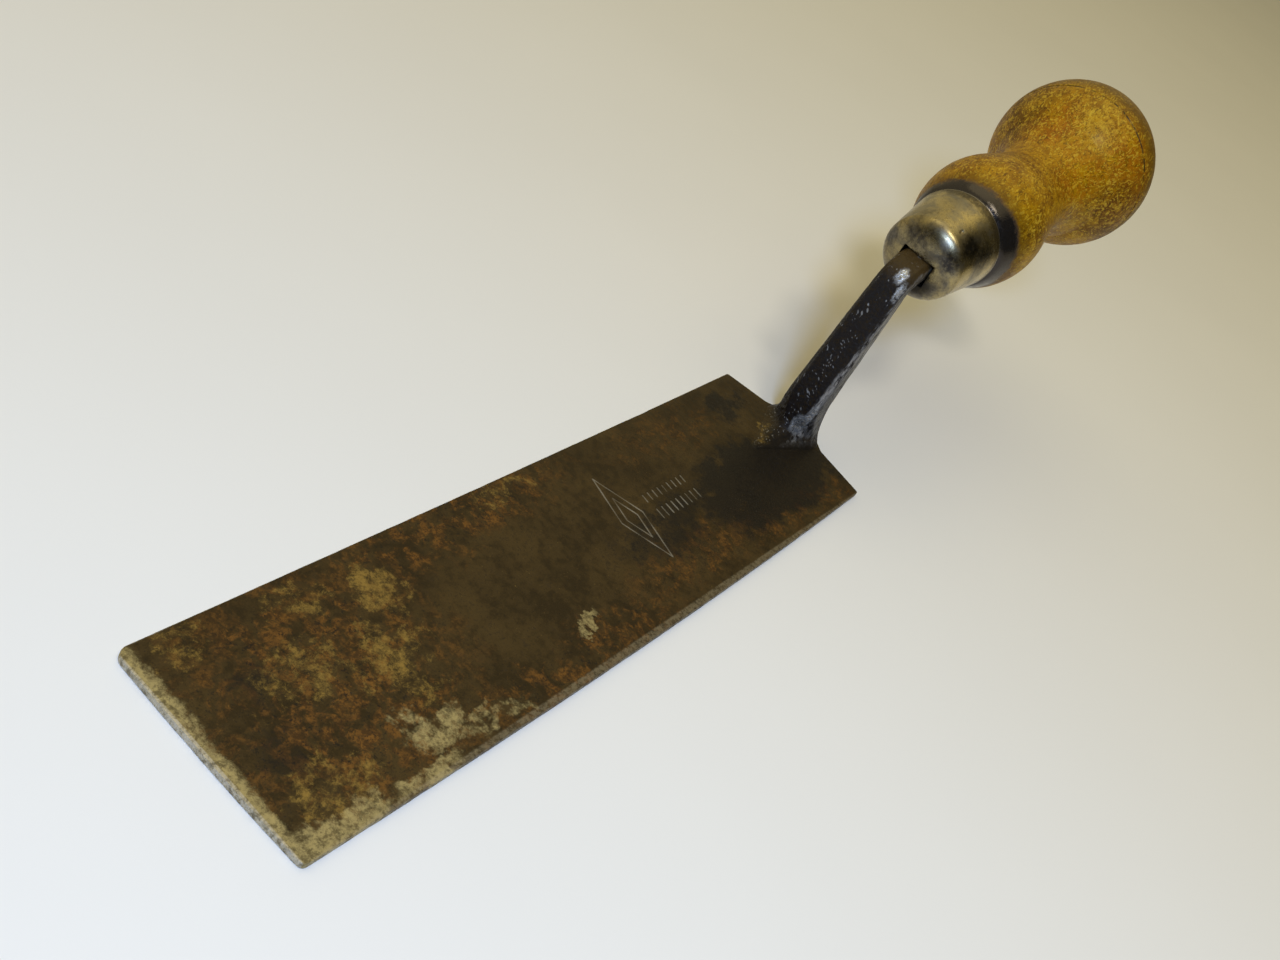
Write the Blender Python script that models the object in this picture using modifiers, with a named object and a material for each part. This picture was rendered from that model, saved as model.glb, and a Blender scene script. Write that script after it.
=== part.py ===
# Moulder's taper trowel: a flat tapered blade forged in one with its neck and
# cranked tang, a domed steel thimble ferrule, and a turned wooden handle.
#
# Frame: metres, +Z up.  The blade lies flat on z = 0 and is symmetric about
# y = 0.  Its tip points to -X and its heel to +X.  The origin is the middle of
# the flat sole.  The handle stands above the heel and runs back toward +X.

import bpy
import bmesh
import math
from mathutils import Matrix, Vector

MM = 0.001
FIT_GAP = 0.3 * MM

# Blade plate.
BLADE_HALF_LENGTH = 89.3 * MM
BLADE_THICKNESS = 1.3 * MM
TIP_HALF_WIDTH = 19.7 * MM
HEEL_HALF_WIDTH = 20.8 * MM
HEEL_CORNER_X = 86.4 * MM
SHOULDER_X = 89.1 * MM
TIP_BULGE = 0.35 * MM
WORN_SIDE_BULGE = 1.2 * MM
FAR_SIDE_BULGE = -0.3 * MM
TIP_RADIUS_LEFT = 2.0 * MM
TIP_RADIUS_RIGHT = 1.1 * MM
HEEL_RADIUS = 0.8 * MM
SHOULDER_FILLET = 2.6 * MM
EDGE_BEVEL = 0.15 * MM

# Neck tab, the short tongue between the shoulders that carries the neck.
NECK_Y = 1.0 * MM
TAB_HALF_WIDTH = 8.8 * MM
TAB_END_X = 92.6 * MM
TAB_END_HALF_WIDTH = 4.8 * MM
TAB_END_RADIUS = 1.0 * MM

# Handle axis: rises toward the butt and drifts slightly to one side.
RIM_CENTRE = Vector((108.86, 2.05, 53.42)) * MM
HANDLE_RISE = math.radians(11.2)
HANDLE_DRIFT = math.radians(0.7)

# Tang: a chamfered bar that climbs from the neck, bends and enters the handle.
TANG_WIDTH_TOP = 7.4 * MM
TANG_DEPTH_TOP = 5.8 * MM
TANG_CHAMFER = 1.1 * MM
TANG_DROP = 1.2 * MM
TANG_SIDE = 0.15 * MM
BEND_RADIUS = 4.9 * MM
BEND_STEPS = 6
SPIKE_TIP_S = 38.0 * MM
SPIKE_TIP_SIZE = 3.2 * MM

# Thimble ferrule, measured along the handle axis from its rear rim.
FERRULE_RIM_RADIUS = 11.31 * MM
FERRULE_NOSE_RADIUS = 9.67 * MM
FERRULE_SHOULDER_S = -14.88 * MM
FERRULE_NOSE_S = -18.85 * MM
FERRULE_WALL = 1.5 * MM
FERRULE_LIP = 0.3 * MM
DOME_POWER = 1.83
DOME_STEPS = 12
WINDOW_WIDTH = 8.4 * MM
WINDOW_TOP = 1.95 * MM
WINDOW_BOTTOM = -4.4 * MM
DIMPLE_RADIUS = 0.6 * MM
DIMPLE_S = -12.5 * MM
DIMPLE_ANGLE = math.radians(19.0)

# Turned handle: shoulder bead, waist and ball.
BALL_S = 67.65 * MM
BALL_RADIUS = 20.98 * MM
SCRIBE_S = 64.0 * MM
SCRIBE_DEPTH = 0.35 * MM
SCRIBE_HALF_WIDTH = 0.35 * MM
BEAD_POINTS = (
    (0.3, 10.9), (1.5, 11.9), (4.0, 12.95), (8.0, 14.25), (13.0, 14.95),
    (18.0, 14.65), (24.0, 13.4), (30.0, 12.1), (36.0, 11.1), (42.0, 10.9),
    (47.0, 12.0),
)
BALL_JOIN_S = 53.0 * MM
BEAD_STEPS = 36
BALL_STEPS = 26
SPIGOT_CHAMFER = 0.8 * MM
TURN_STEPS = 72

COLOURS = {
    "blade": ((0.060, 0.045, 0.022, 1.0), 0.55, 0.75),
    "ferrule": ((0.34, 0.31, 0.26, 1.0), 0.30, 1.00),
    "handle": ((0.40, 0.235, 0.050, 1.0), 0.32, 0.00),
}


def clear_scene():
    for old in list(bpy.data.objects):
        bpy.data.objects.remove(old, do_unlink=True)


def new_collection(name):
    group = bpy.data.collections.new(name)
    bpy.context.scene.collection.children.link(group)
    return group


def finish_mesh(name, bm, group, matrix=None, smooth=False):
    mesh = bpy.data.meshes.new(name)
    bm.to_mesh(mesh)
    bm.free()
    if smooth:
        for polygon in mesh.polygons:
            polygon.use_smooth = True
    body = bpy.data.objects.new(name, mesh)
    if matrix is not None:
        body.matrix_world = matrix
    group.objects.link(body)
    return body


def paint(body, key):
    colour, roughness, metallic = COLOURS[key]
    material = bpy.data.materials.new(key + "_material")
    material.use_nodes = True
    shader = material.node_tree.nodes["Principled BSDF"]
    shader.inputs["Base Color"].default_value = colour
    shader.inputs["Roughness"].default_value = roughness
    shader.inputs["Metallic"].default_value = metallic
    body.data.materials.append(material)


def hide_guide(body):
    body.hide_render = True
    body.display_type = "WIRE"


def add_boolean(body, tool, operation):
    modifier = body.modifiers.new(operation.lower() + "_" + tool.name, "BOOLEAN")
    modifier.operation = operation
    modifier.solver = "EXACT"
    modifier.object = tool


def handle_matrix():
    # Local +Z runs along the handle toward the butt, local +X points up.
    along = Vector((
        math.cos(HANDLE_RISE) * math.cos(HANDLE_DRIFT),
        math.cos(HANDLE_RISE) * math.sin(HANDLE_DRIFT),
        math.sin(HANDLE_RISE),
    ))
    side = Vector((0.0, 0.0, 1.0)).cross(along).normalized()
    up = along.cross(side)
    frame = Matrix((up, side, along)).transposed()
    return Matrix.Translation(RIM_CENTRE) @ frame.to_4x4()


def round_corners(corners, segments=6):
    # Each corner is (x, y, radius); a positive radius becomes a tangent arc.
    outline = []
    count = len(corners)
    for index in range(count):
        x, y, radius = corners[index]
        here = Vector((x, y))
        if radius <= 0.0:
            outline.append(here)
            continue
        before = Vector(corners[index - 1][:2]) - here
        after = Vector(corners[(index + 1) % count][:2]) - here
        before.normalize()
        after.normalize()
        half = math.acos(max(-1.0, min(1.0, before.dot(after)))) / 2.0
        setback = radius / math.tan(half)
        centre = here + (before + after).normalized() * (radius / math.sin(half))
        start = here + before * setback - centre
        sweep = math.pi - 2.0 * half
        turn = 1.0 if before.x * after.y - before.y * after.x < 0.0 else -1.0
        for step in range(segments + 1):
            angle = turn * sweep * step / segments
            spun = Matrix.Rotation(angle, 2) @ start
            outline.append(centre + spun)
    return outline


def bulged_edge(start, end, bulge, pieces):
    # Interior points of a shallow parabolic edge, bulging to the right of travel.
    points = []
    run = Vector(end) - Vector(start)
    out = Vector((run.y, -run.x)).normalized()
    for piece in range(1, pieces):
        t = piece / pieces
        offset = 4.0 * bulge * t * (1.0 - t)
        spot = Vector(start) + run * t + out * offset
        points.append((spot.x, spot.y, 0.0))
    return points


def plate_outline():
    tip_left = (-BLADE_HALF_LENGTH, TIP_HALF_WIDTH)
    tip_right = (-BLADE_HALF_LENGTH, -TIP_HALF_WIDTH)
    heel_right = (HEEL_CORNER_X, -HEEL_HALF_WIDTH)
    heel_left = (HEEL_CORNER_X, HEEL_HALF_WIDTH)
    corners = [tip_left + (TIP_RADIUS_LEFT,)]
    corners += bulged_edge(tip_left, tip_right, TIP_BULGE, 4)
    corners += [tip_right + (TIP_RADIUS_RIGHT,)]
    corners += bulged_edge(tip_right, heel_right, WORN_SIDE_BULGE, 10)
    corners += [heel_right + (HEEL_RADIUS,)]
    corners += [(SHOULDER_X, NECK_Y - TAB_HALF_WIDTH, SHOULDER_FILLET)]
    corners += [(TAB_END_X, NECK_Y - TAB_END_HALF_WIDTH, TAB_END_RADIUS)]
    corners += [(TAB_END_X, NECK_Y + TAB_END_HALF_WIDTH, TAB_END_RADIUS)]
    corners += [(SHOULDER_X, NECK_Y + TAB_HALF_WIDTH, SHOULDER_FILLET)]
    corners += [heel_left + (HEEL_RADIUS,)]
    corners += bulged_edge(heel_left, tip_left, FAR_SIDE_BULGE, 6)
    return round_corners(corners)


def make_plate(group):
    bm = bmesh.new()
    verts = [bm.verts.new((p.x, p.y, 0.0)) for p in plate_outline()]
    face = bm.faces.new(verts)
    lifted = bmesh.ops.extrude_face_region(bm, geom=[face])
    top = [v for v in lifted["geom"] if isinstance(v, bmesh.types.BMVert)]
    bmesh.ops.translate(bm, verts=top, vec=(0.0, 0.0, BLADE_THICKNESS))
    bmesh.ops.recalc_face_normals(bm, faces=bm.faces)
    return finish_mesh("blade", bm, group)


def ring(x, z, tilt, front, back, half, nose, cut, tail, tail_cut, y):
    # Eight-sided section.  tilt is the lean of the bar from vertical toward +X;
    # front and back are distances from the centre along the section's depth.
    outline = (
        (front, -nose), (front - cut, -half), (-back + tail_cut, -half),
        (-back, -tail), (-back, tail), (-back + tail_cut, half),
        (front - cut, half), (front, nose),
    )
    points = []
    for depth, across in outline:
        points.append(Vector((
            x - depth * math.cos(tilt),
            y + across,
            z + depth * math.sin(tilt),
        )))
    return points


def bar_ring(x, z, tilt, depth, width, y):
    chamfer = min(TANG_CHAMFER, 0.28 * depth)
    half = width / 2.0
    return ring(x, z, tilt, depth / 2.0, depth / 2.0, half, half - chamfer,
                chamfer, half - chamfer, chamfer, y)


def neck_rings():
    # z, front x, back x, half width, nose half width, front cut, rear half
    # width, rear cut: a low spine on the blade gathering into the upright bar.
    rows = (
        (0.35, 67.0, 91.8, 7.6, 0.3, 20.0, 4.2, 3.0),
        (1.60, 69.0, 92.2, 7.4, 0.4, 18.0, 4.1, 3.0),
        (2.60, 76.5, 92.2, 6.4, 0.6, 11.0, 3.9, 2.6),
        (4.00, 80.0, 91.9, 5.6, 0.9, 6.5, 3.6, 2.2),
        (6.00, 80.8, 91.0, 5.1, 1.4, 4.2, 3.4, 1.8),
        (9.00, 80.4, 89.6, 4.75, 2.4, 2.2, 3.3, 1.4),
        (12.5, 80.2, 88.3, 4.5, 3.1, 1.3, 3.3, 1.2),
        (20.0, 80.4, 87.8, 4.3, 3.1, 1.2, 3.2, 1.1),
        (30.0, 81.4, 87.9, 4.1, 3.0, 1.1, 3.0, 1.1),
    )
    rings = []
    for z, front, back, half, nose, cut, tail, tail_cut in rows:
        lean = z / 43.7
        rings.append(ring(0.0, z * MM, 0.0, -front * MM, back * MM, half * MM,
                          nose * MM, cut * MM, tail * MM, tail_cut * MM,
                          NECK_Y + 0.8 * MM * lean))
    return rings


def spike_point(s):
    along = handle_matrix()
    spot = along @ Vector((-TANG_DROP, TANG_SIDE, s))
    return spot


def spike_rings(grow):
    # Straight tapered spike from the mouth of the ferrule into the wood.
    tilt = math.pi / 2.0 - HANDLE_RISE
    start_s = FERRULE_NOSE_S - 0.4 * MM
    rings = []
    for step in range(4):
        t = step / 3.0
        s = start_s + (SPIKE_TIP_S + grow - start_s) * t
        depth = TANG_DEPTH_TOP + (SPIKE_TIP_SIZE - TANG_DEPTH_TOP) * t
        width = TANG_WIDTH_TOP + (SPIKE_TIP_SIZE - TANG_WIDTH_TOP) * t
        spot = spike_point(s)
        rings.append(bar_ring(spot.x, spot.z, tilt, depth + 2.0 * grow,
                              width + 2.0 * grow, spot.y))
    return rings


def tang_rings():
    # The upright bar, the bend at the ferrule mouth, then the buried spike.
    end_tilt = math.pi / 2.0 - HANDLE_RISE
    mouth = spike_point(FERRULE_NOSE_S - 0.4 * MM)
    start_x = mouth.x - 0.7 * MM - BEND_RADIUS * (1.0 - math.sin(HANDLE_RISE))
    start_z = mouth.z - 0.15 * MM - BEND_RADIUS * math.cos(HANDLE_RISE)
    centre_x = start_x + BEND_RADIUS
    rings = neck_rings()
    for step in range(BEND_STEPS):
        tilt = end_tilt * step / (BEND_STEPS - 1)
        rings.append(bar_ring(
            centre_x - BEND_RADIUS * math.cos(tilt),
            start_z + BEND_RADIUS * math.sin(tilt),
            tilt, TANG_DEPTH_TOP, TANG_WIDTH_TOP, mouth.y))
    return rings + spike_rings(0.0)


def loft(name, rings, group):
    bm = bmesh.new()
    rows = [[bm.verts.new(p) for p in points] for points in rings]
    count = len(rows[0])
    for low, high in zip(rows, rows[1:]):
        for i in range(count):
            j = (i + 1) % count
            bm.faces.new((low[i], low[j], high[j], high[i]))
    bm.faces.new(rows[0][::-1])
    bm.faces.new(rows[-1])
    bmesh.ops.recalc_face_normals(bm, faces=bm.faces)
    return finish_mesh(name, bm, group)


def turned(name, profile, group):
    # profile is (radius, s) running down the outer side.
    bm = bmesh.new()
    verts = [bm.verts.new((radius, 0.0, s)) for radius, s in profile]
    for first, second in zip(verts, verts[1:]):
        bm.edges.new((first, second))
    body = finish_mesh(name, bm, group, handle_matrix())
    screw = body.modifiers.new("turn", "SCREW")
    screw.axis = "Z"
    screw.angle = 2.0 * math.pi
    screw.steps = TURN_STEPS
    screw.render_steps = TURN_STEPS
    screw.use_merge_vertices = True
    screw.merge_threshold = 0.00001
    screw.use_smooth_shade = True
    return body


def dome_profile(radius, shoulder_s, nose_s):
    # Blunt superelliptic nose from the shoulder to the axis.
    points = []
    for step in range(1, DOME_STEPS + 1):
        t = math.pi / 2.0 * step / DOME_STEPS
        across = radius * max(0.0, math.cos(t)) ** (2.0 / DOME_POWER)
        drop = (shoulder_s - nose_s) * math.sin(t) ** (2.0 / DOME_POWER)
        points.append((0.0 if step == DOME_STEPS else across, shoulder_s - drop))
    return points


def ferrule_radius(s):
    slope = (FERRULE_RIM_RADIUS - FERRULE_NOSE_RADIUS) / -FERRULE_SHOULDER_S
    return FERRULE_RIM_RADIUS + slope * s


def make_ferrule(group, guides):
    outer = [(FERRULE_RIM_RADIUS - FERRULE_LIP, 0.0)]
    outer += [(ferrule_radius(-FERRULE_LIP), -FERRULE_LIP)]
    outer += [(ferrule_radius(FERRULE_SHOULDER_S / 2.0), FERRULE_SHOULDER_S / 2.0)]
    outer += [(FERRULE_NOSE_RADIUS, FERRULE_SHOULDER_S)]
    outer += dome_profile(FERRULE_NOSE_RADIUS, FERRULE_SHOULDER_S, FERRULE_NOSE_S)
    inner_nose = FERRULE_NOSE_S + FERRULE_WALL
    inner = dome_profile(FERRULE_NOSE_RADIUS - FERRULE_WALL,
                         FERRULE_SHOULDER_S, inner_nose)[::-1]
    inner += [(FERRULE_NOSE_RADIUS - FERRULE_WALL, FERRULE_SHOULDER_S)]
    inner += [(FERRULE_RIM_RADIUS - FERRULE_WALL, 0.0)]
    ferrule = turned("ferrule", inner + outer, group)

    middle = (WINDOW_TOP + WINDOW_BOTTOM) / 2.0
    window = box("ferrule_window", (WINDOW_TOP - WINDOW_BOTTOM, WINDOW_WIDTH,
                 5.0 * MM), (middle, TANG_SIDE, FERRULE_NOSE_S), guides)
    add_boolean(ferrule, window, "DIFFERENCE")

    bm = bmesh.new()
    bmesh.ops.create_uvsphere(bm, u_segments=12, v_segments=8,
                              radius=DIMPLE_RADIUS)
    reach = ferrule_radius(DIMPLE_S) + 0.25 * DIMPLE_RADIUS
    spot = Matrix.Translation((reach * math.cos(DIMPLE_ANGLE),
                               -reach * math.sin(DIMPLE_ANGLE), DIMPLE_S))
    dimple = finish_mesh("stake_dimple", bm, guides, handle_matrix() @ spot)
    hide_guide(dimple)
    add_boolean(ferrule, dimple, "DIFFERENCE")
    paint(ferrule, "ferrule")
    return ferrule


def box(name, size, centre, group):
    bm = bmesh.new()
    bmesh.ops.create_cube(bm, size=1.0)
    bmesh.ops.scale(bm, vec=size, verts=bm.verts)
    bmesh.ops.translate(bm, vec=centre, verts=bm.verts)
    body = finish_mesh(name, bm, group, handle_matrix())
    hide_guide(body)
    return body


def smooth_curve(points, samples):
    # Monotone-spaced Catmull-Rom samples through (s, radius) points.
    result = []
    spans = len(points) - 1
    for index in range(samples + 1):
        place = spans * index / samples
        k = min(int(place), spans - 1)
        t = place - k
        before = points[max(k - 1, 0)]
        here = points[k]
        there = points[k + 1]
        after = points[min(k + 2, spans)]
        value = []
        for axis in (0, 1):
            a, b, c, d = before[axis], here[axis], there[axis], after[axis]
            value.append(0.5 * (2.0 * b + (c - a) * t
                         + (2.0 * a - 5.0 * b + 4.0 * c - d) * t * t
                         + (3.0 * b - a - 3.0 * c + d) * t ** 3))
        result.append((value[0], value[1]))
    return result


def ball_radius_at(s):
    return math.sqrt(max(0.0, BALL_RADIUS ** 2 - (s - BALL_S) ** 2))


def handle_profile():
    end_s = BALL_S + BALL_RADIUS
    start_angle = math.acos((BALL_JOIN_S - BALL_S) / BALL_RADIUS)
    scribe_angle = math.acos((SCRIBE_S - BALL_S) / BALL_RADIUS)
    half_groove = SCRIBE_HALF_WIDTH / BALL_RADIUS
    outer = [(0.0, end_s)]
    for first, last, steps in (
            (0.0, scribe_angle - half_groove, BALL_STEPS - 8),
            (scribe_angle + half_groove, start_angle, 8)):
        for step in range(steps + 1):
            angle = first + (last - first) * step / steps
            if angle > 0.0:
                outer.append((BALL_RADIUS * math.sin(angle),
                              BALL_S + BALL_RADIUS * math.cos(angle)))
        if first == 0.0:
            deep = BALL_RADIUS - SCRIBE_DEPTH
            outer.append((deep * math.sin(scribe_angle),
                          BALL_S + deep * math.cos(scribe_angle)))
    turned_part = [(s * MM, radius * MM) for s, radius in BEAD_POINTS]
    turned_part.append((BALL_JOIN_S, ball_radius_at(BALL_JOIN_S)))
    for s, radius in smooth_curve(turned_part, BEAD_STEPS)[-2::-1]:
        outer.append((radius, s))
    spigot_root = FERRULE_RIM_RADIUS - FERRULE_WALL - FIT_GAP
    spigot_tip = FERRULE_NOSE_RADIUS - FERRULE_WALL - FIT_GAP
    outer.append((spigot_root, FIT_GAP))
    outer.append((spigot_tip, FERRULE_SHOULDER_S + SPIGOT_CHAMFER))
    outer.append((spigot_tip - SPIGOT_CHAMFER, FERRULE_SHOULDER_S))
    outer.append((0.0, FERRULE_SHOULDER_S))
    return outer


def make_handle(group, guides):
    handle = turned("handle", handle_profile(), group)
    socket = loft("tang_socket", spike_rings(FIT_GAP), guides)
    hide_guide(socket)
    add_boolean(handle, socket, "DIFFERENCE")
    paint(handle, "handle")
    return handle


def make_blade(group, guides):
    blade = make_plate(group)
    bevel = blade.modifiers.new("eased_edges", "BEVEL")
    bevel.width = EDGE_BEVEL
    bevel.segments = 1
    bevel.limit_method = "ANGLE"
    bevel.angle_limit = math.radians(50.0)
    tang = loft("neck_and_tang", tang_rings(), guides)
    hide_guide(tang)
    add_boolean(blade, tang, "UNION")
    paint(blade, "blade")
    return blade


clear_scene()
parts = new_collection("moulders_trowel")
guides = new_collection("guides")
make_blade(parts, guides)
make_ferrule(parts, guides)
make_handle(parts, guides)
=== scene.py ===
# Looks for a foundry moulder's taper trowel: a patinated steel blade forged in
# one with its neck and cranked tang, a domed thimble ferrule and a turned,
# varnished wooden handle, on a plain pale floor under soft light.
#
# Frame: metres, +Z up, the blade's sole on z = 0, tip toward -X.  The ferrule
# and the handle are built about their own axis: local +Z runs toward the butt
# and local +X points up.

import bpy
import bmesh
import math
from mathutils import Matrix, Vector, noise


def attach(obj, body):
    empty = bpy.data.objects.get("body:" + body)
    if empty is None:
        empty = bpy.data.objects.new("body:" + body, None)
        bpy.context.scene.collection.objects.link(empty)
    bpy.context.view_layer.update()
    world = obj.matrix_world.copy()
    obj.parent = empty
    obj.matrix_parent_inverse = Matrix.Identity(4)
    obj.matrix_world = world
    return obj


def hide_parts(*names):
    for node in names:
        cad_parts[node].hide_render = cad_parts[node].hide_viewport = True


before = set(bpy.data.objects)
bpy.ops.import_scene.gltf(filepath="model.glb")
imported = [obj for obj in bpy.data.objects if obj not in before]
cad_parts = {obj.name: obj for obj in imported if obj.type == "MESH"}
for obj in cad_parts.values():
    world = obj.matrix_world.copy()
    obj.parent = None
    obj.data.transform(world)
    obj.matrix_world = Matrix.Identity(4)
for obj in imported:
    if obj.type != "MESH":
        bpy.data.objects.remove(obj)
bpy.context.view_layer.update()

MM = 0.001
FIT_GAP = 0.3 * MM

# Blade plate.
BLADE_HALF_LENGTH = 89.3 * MM
BLADE_THICKNESS = 1.3 * MM
TIP_HALF_WIDTH = 19.7 * MM
HEEL_HALF_WIDTH = 20.8 * MM
HEEL_CORNER_X = 86.4 * MM
SHOULDER_X = 89.1 * MM
TIP_BULGE = 0.35 * MM
WORN_SIDE_BULGE = 1.2 * MM
FAR_SIDE_BULGE = -0.3 * MM
TIP_RADIUS_LEFT = 2.0 * MM
TIP_RADIUS_RIGHT = 1.1 * MM
HEEL_RADIUS = 0.8 * MM
SHOULDER_FILLET = 2.6 * MM
EDGE_BEVEL = 0.22 * MM
NICK_DEPTH = 0.10 * MM
WAVE_HEIGHT = 0.05 * MM

# Neck tab, the short tongue between the shoulders that carries the neck.
NECK_Y = 1.0 * MM
TAB_HALF_WIDTH = 8.8 * MM
TAB_END_X = 92.6 * MM
TAB_END_HALF_WIDTH = 4.8 * MM
TAB_END_RADIUS = 1.0 * MM

# Handle axis: rises toward the butt and drifts slightly to one side.
RIM_CENTRE = Vector((108.86, 2.05, 53.42)) * MM
HANDLE_RISE = math.radians(11.2)
HANDLE_DRIFT = math.radians(0.7)

# Tang: a chamfered bar that climbs from the neck, bends and enters the handle.
TANG_WIDTH_TOP = 7.4 * MM
TANG_DEPTH_TOP = 5.8 * MM
TANG_CHAMFER = 1.1 * MM
TANG_DROP = 1.2 * MM
TANG_SIDE = 0.15 * MM
BEND_RADIUS = 4.9 * MM
BEND_STEPS = 10
SPIKE_TIP_S = 38.0 * MM
SPIKE_TIP_SIZE = 3.2 * MM
TANG_VOXEL = 0.30 * MM
HAMMER_DEPTH = 0.10 * MM
WEAR_FROM_Z = 3.2 * MM

# Blend between the neck and the plate.
BLEND_TOP_Z = 5.0 * MM
BLEND_ROUNDS = 14

# Thimble ferrule, measured along the handle axis from its rear rim.
FERRULE_RIM_RADIUS = 11.31 * MM
FERRULE_NOSE_RADIUS = 9.67 * MM
FERRULE_SHOULDER_S = -14.88 * MM
FERRULE_NOSE_S = -18.85 * MM
FERRULE_WALL = 1.5 * MM
FERRULE_LIP = 0.35 * MM
DOME_POWER = 1.83
DOME_STEPS = 20
WINDOW_WIDTH = 8.4 * MM
WINDOW_TOP = 1.95 * MM
WINDOW_BOTTOM = -4.4 * MM
DIMPLE_RADIUS = 0.6 * MM
DIMPLE_S = -12.5 * MM
DIMPLE_ANGLE = math.radians(19.0)

# Turned handle: shoulder bead, waist and ball.
BALL_S = 67.65 * MM
BALL_RADIUS = 20.98 * MM
SCRIBE_S = 64.0 * MM
SCRIBE_DEPTH = 0.30 * MM
SCRIBE_HALF_WIDTH = 0.28 * MM
BEAD_POINTS = (
    (0.3, 10.9), (1.5, 11.9), (4.0, 12.95), (8.0, 14.25), (13.0, 14.95),
    (18.0, 14.65), (24.0, 13.4), (30.0, 12.1), (36.0, 11.1), (42.0, 10.9),
    (47.0, 12.0),
)
BALL_JOIN_S = 53.0 * MM
BEAD_STEPS = 90
BALL_STEPS = 110
SPIGOT_CHAMFER = 0.8 * MM
TURN_STEPS = 220

# Plain stamped device on the blade, drawn with straight strokes only.
STAMP_CENTRE = Vector((17.0, 0.5)) * MM
STAMP_HALF = Vector((3.8, 11.0)) * MM
STAMP_INNER = 0.5
TICK_START = 24.5 * MM
TICK_PITCH = 1.85 * MM
TICK_COUNT = 9
TICK_ROWS = ((2.7 * MM, 1.7 * MM), (-1.6 * MM, 2.3 * MM))
STAMP_DEPTH = 0.14 * MM
STAMP_WIDTH = 0.24 * MM

# Camera place, angles and lens.
CAMERA_SPOT = Vector((-0.19809, -0.05812, 0.15291))
CAMERA_AZIMUTH = math.radians(-74.0)
CAMERA_ELEVATION = math.radians(32.8)
CAMERA_ROLL = math.radians(34.9)
CAMERA_LENS = 39.375
CAMERA_SENSOR = 36.0

# Lights: reach, size, power in watts and colour of each.
LIGHT_TARGET = Vector((0.04, 0.0, 0.02))
KEY_BACK, KEY_RIGHT, KEY_UP = 0.28, 0.075, 0.035
KEY_LIGHT = (0.08, 2.15, (0.46, 0.64, 1.0))
LAMP_WAY = Vector((-0.30, -0.25, 0.92))
LAMP_LIGHT = (0.16, 1.9, (1.0, 0.93, 0.72))
OVERHEAD_SPOT = (0.1, 0.1, 1.7)
OVERHEAD_LIGHT = (2.4, 9.6, (1.0, 0.87, 0.48))

# Floor: half its side, and how far it lies below the sole.
FLOOR_HALF = 6.0
FLOOR_DROP = 0.02 * MM

# Soft surround: its colour, the way to its bright side, and its two levels.
SURROUND_COLOUR = (1.0, 0.87, 0.50, 1.0)
WALL_SIDE = (0.33, 0.85, 0.41)
SURROUND_DIM = 0.05
SURROUND_BRIGHT = 0.50


# ---------------------------------------------------------------- geometry

def handle_matrix():
    along = Vector((
        math.cos(HANDLE_RISE) * math.cos(HANDLE_DRIFT),
        math.cos(HANDLE_RISE) * math.sin(HANDLE_DRIFT),
        math.sin(HANDLE_RISE),
    ))
    side = Vector((0.0, 0.0, 1.0)).cross(along).normalized()
    up = along.cross(side)
    turn = Matrix((up, side, along)).transposed()
    return Matrix.Translation(RIM_CENTRE) @ turn.to_4x4()


def mesh_object(name, bm, matrix=None):
    mesh = bpy.data.meshes.new(name)
    bm.to_mesh(mesh)
    bm.free()
    body = bpy.data.objects.new(name, mesh)
    if matrix is not None:
        body.matrix_world = matrix
    bpy.context.scene.collection.objects.link(body)
    return body


def apply_modifiers(body):
    bpy.context.view_layer.update()
    graph = bpy.context.evaluated_depsgraph_get()
    made = bpy.data.meshes.new_from_object(body.evaluated_get(graph))
    body.modifiers.clear()
    body.data = made


def add_boolean(body, tool, operation):
    modifier = body.modifiers.new("join", "BOOLEAN")
    modifier.operation = operation
    modifier.solver = "EXACT"
    modifier.object = tool
    apply_modifiers(body)
    bpy.data.objects.remove(tool, do_unlink=True)


def shade(body, angle):
    body.data.polygons.foreach_set("use_smooth", [True] * len(body.data.polygons))
    body.data.set_sharp_from_angle(angle=math.radians(angle))


def round_corners(corners, segments=10):
    # Each corner is (x, y, radius); a positive radius becomes a tangent arc.
    outline = []
    count = len(corners)
    for index in range(count):
        x, y, radius = corners[index]
        here = Vector((x, y))
        if radius <= 0.0:
            outline.append(here)
            continue
        before = Vector(corners[index - 1][:2]) - here
        after = Vector(corners[(index + 1) % count][:2]) - here
        before.normalize()
        after.normalize()
        half = math.acos(max(-1.0, min(1.0, before.dot(after)))) / 2.0
        setback = radius / math.tan(half)
        centre = here + (before + after).normalized() * (radius / math.sin(half))
        start = here + before * setback - centre
        sweep = math.pi - 2.0 * half
        turn = 1.0 if before.x * after.y - before.y * after.x < 0.0 else -1.0
        for step in range(segments + 1):
            spun = Matrix.Rotation(turn * sweep * step / segments, 2) @ start
            outline.append(centre + spun)
    return outline


def bulged_edge(start, end, bulge, pieces):
    # A shallow parabolic edge with fine wear nicks, between two corners.
    points = []
    run = Vector(end) - Vector(start)
    out = Vector((run.y, -run.x)).normalized()
    for piece in range(1, pieces):
        t = piece / pieces
        spot = Vector(start) + run * t
        chatter = noise.noise(Vector((spot.x, spot.y, 0.0)) * 420.0)
        bite = max(0.0, noise.noise(Vector((spot.x, spot.y, 7.0)) * 160.0) - 0.2)
        wear = NICK_DEPTH * (0.35 * chatter - 1.6 * bite)
        fade = min(1.0, 12.0 * t, 12.0 * (1.0 - t))
        spot += out * (4.0 * bulge * t * (1.0 - t) + wear * fade)
        points.append((spot.x, spot.y, 0.0))
    return points


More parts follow.
